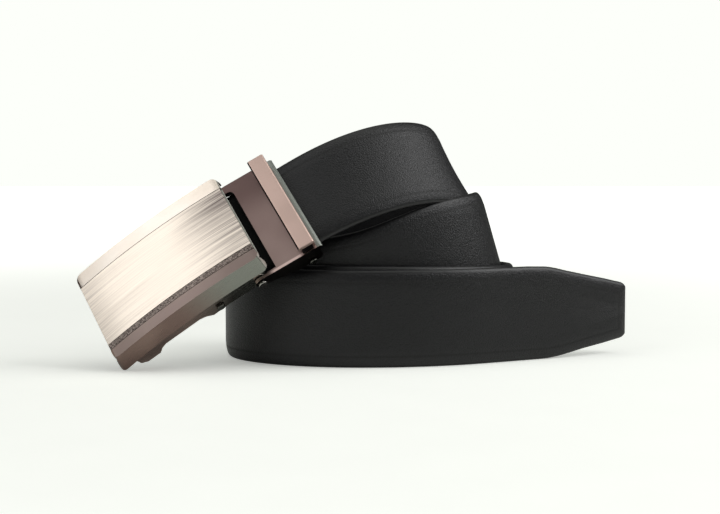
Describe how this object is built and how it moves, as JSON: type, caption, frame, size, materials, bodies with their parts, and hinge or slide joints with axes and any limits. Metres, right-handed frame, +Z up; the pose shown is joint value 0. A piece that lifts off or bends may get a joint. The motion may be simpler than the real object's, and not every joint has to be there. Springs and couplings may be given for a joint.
{
  "type": "ratchet belt",
  "caption": "Rolled leather ratchet belt on its edge, with a bowed brushed-metal buckle hinged to a strap clip and keeper bar, and a toothed track behind the tail.",
  "frame": {"origin": "on the floor, under the middle of the whole belt's box", "axes": "+Z up, the strap standing on its lower edge; +X towards the tail's tip; -Y towards the viewer, the side that the buckle's face is on"},
  "size_m": [0.205, 0.0948, 0.0888],
  "materials": {
    "leather": "fine pressed grain, satin",
    "track_plastic": "moulded, satin",
    "satin_nickel": "polished bevels and walls",
    "brushed_nickel": "brushed along the length",
    "grained_metal": "sparkling dark grain",
    "dark_nickel": "polished dark plating",
    "rose_nickel": "satin plating",
    "bright_steel": "polished"
  },
  "bodies": {
    "belt": {"strap": "leather", "ratchet_track": "track_plastic", "clip_plate": "dark_nickel", "keeper_bar": "rose_nickel", "clip_flap": "bright_steel", "flap_pin": "bright_steel", "hinge_pin": "bright_steel"},
    "buckle": {"face_plate": "satin_nickel", "brushed_panel": "brushed_nickel", "grained_strip": "grained_metal", "inner_frame": "dark_nickel", "pawl_pin": "bright_steel"},
    "pawl": {"pawl_lever": "bright_steel"}
  },
  "joints": [
    {"name": "buckle_hinge", "type": "hinge", "parent": "belt", "child": "buckle", "pos_m": [-0.04394, -0.02581, 0.0461], "axis": [-0.4708, 0.4808, 0.7397], "range_deg": [-32, 38]},
    {"name": "pawl_hinge", "type": "hinge", "parent": "buckle", "child": "pawl", "pos_m": [-0.05821, -0.02541, 0.03676], "axis": [-0.4708, 0.4808, 0.7397], "range_deg": [-20, 0], "stiffness_Nm_per_rad": 0.15, "springref_deg": 20.05}
  ]
}
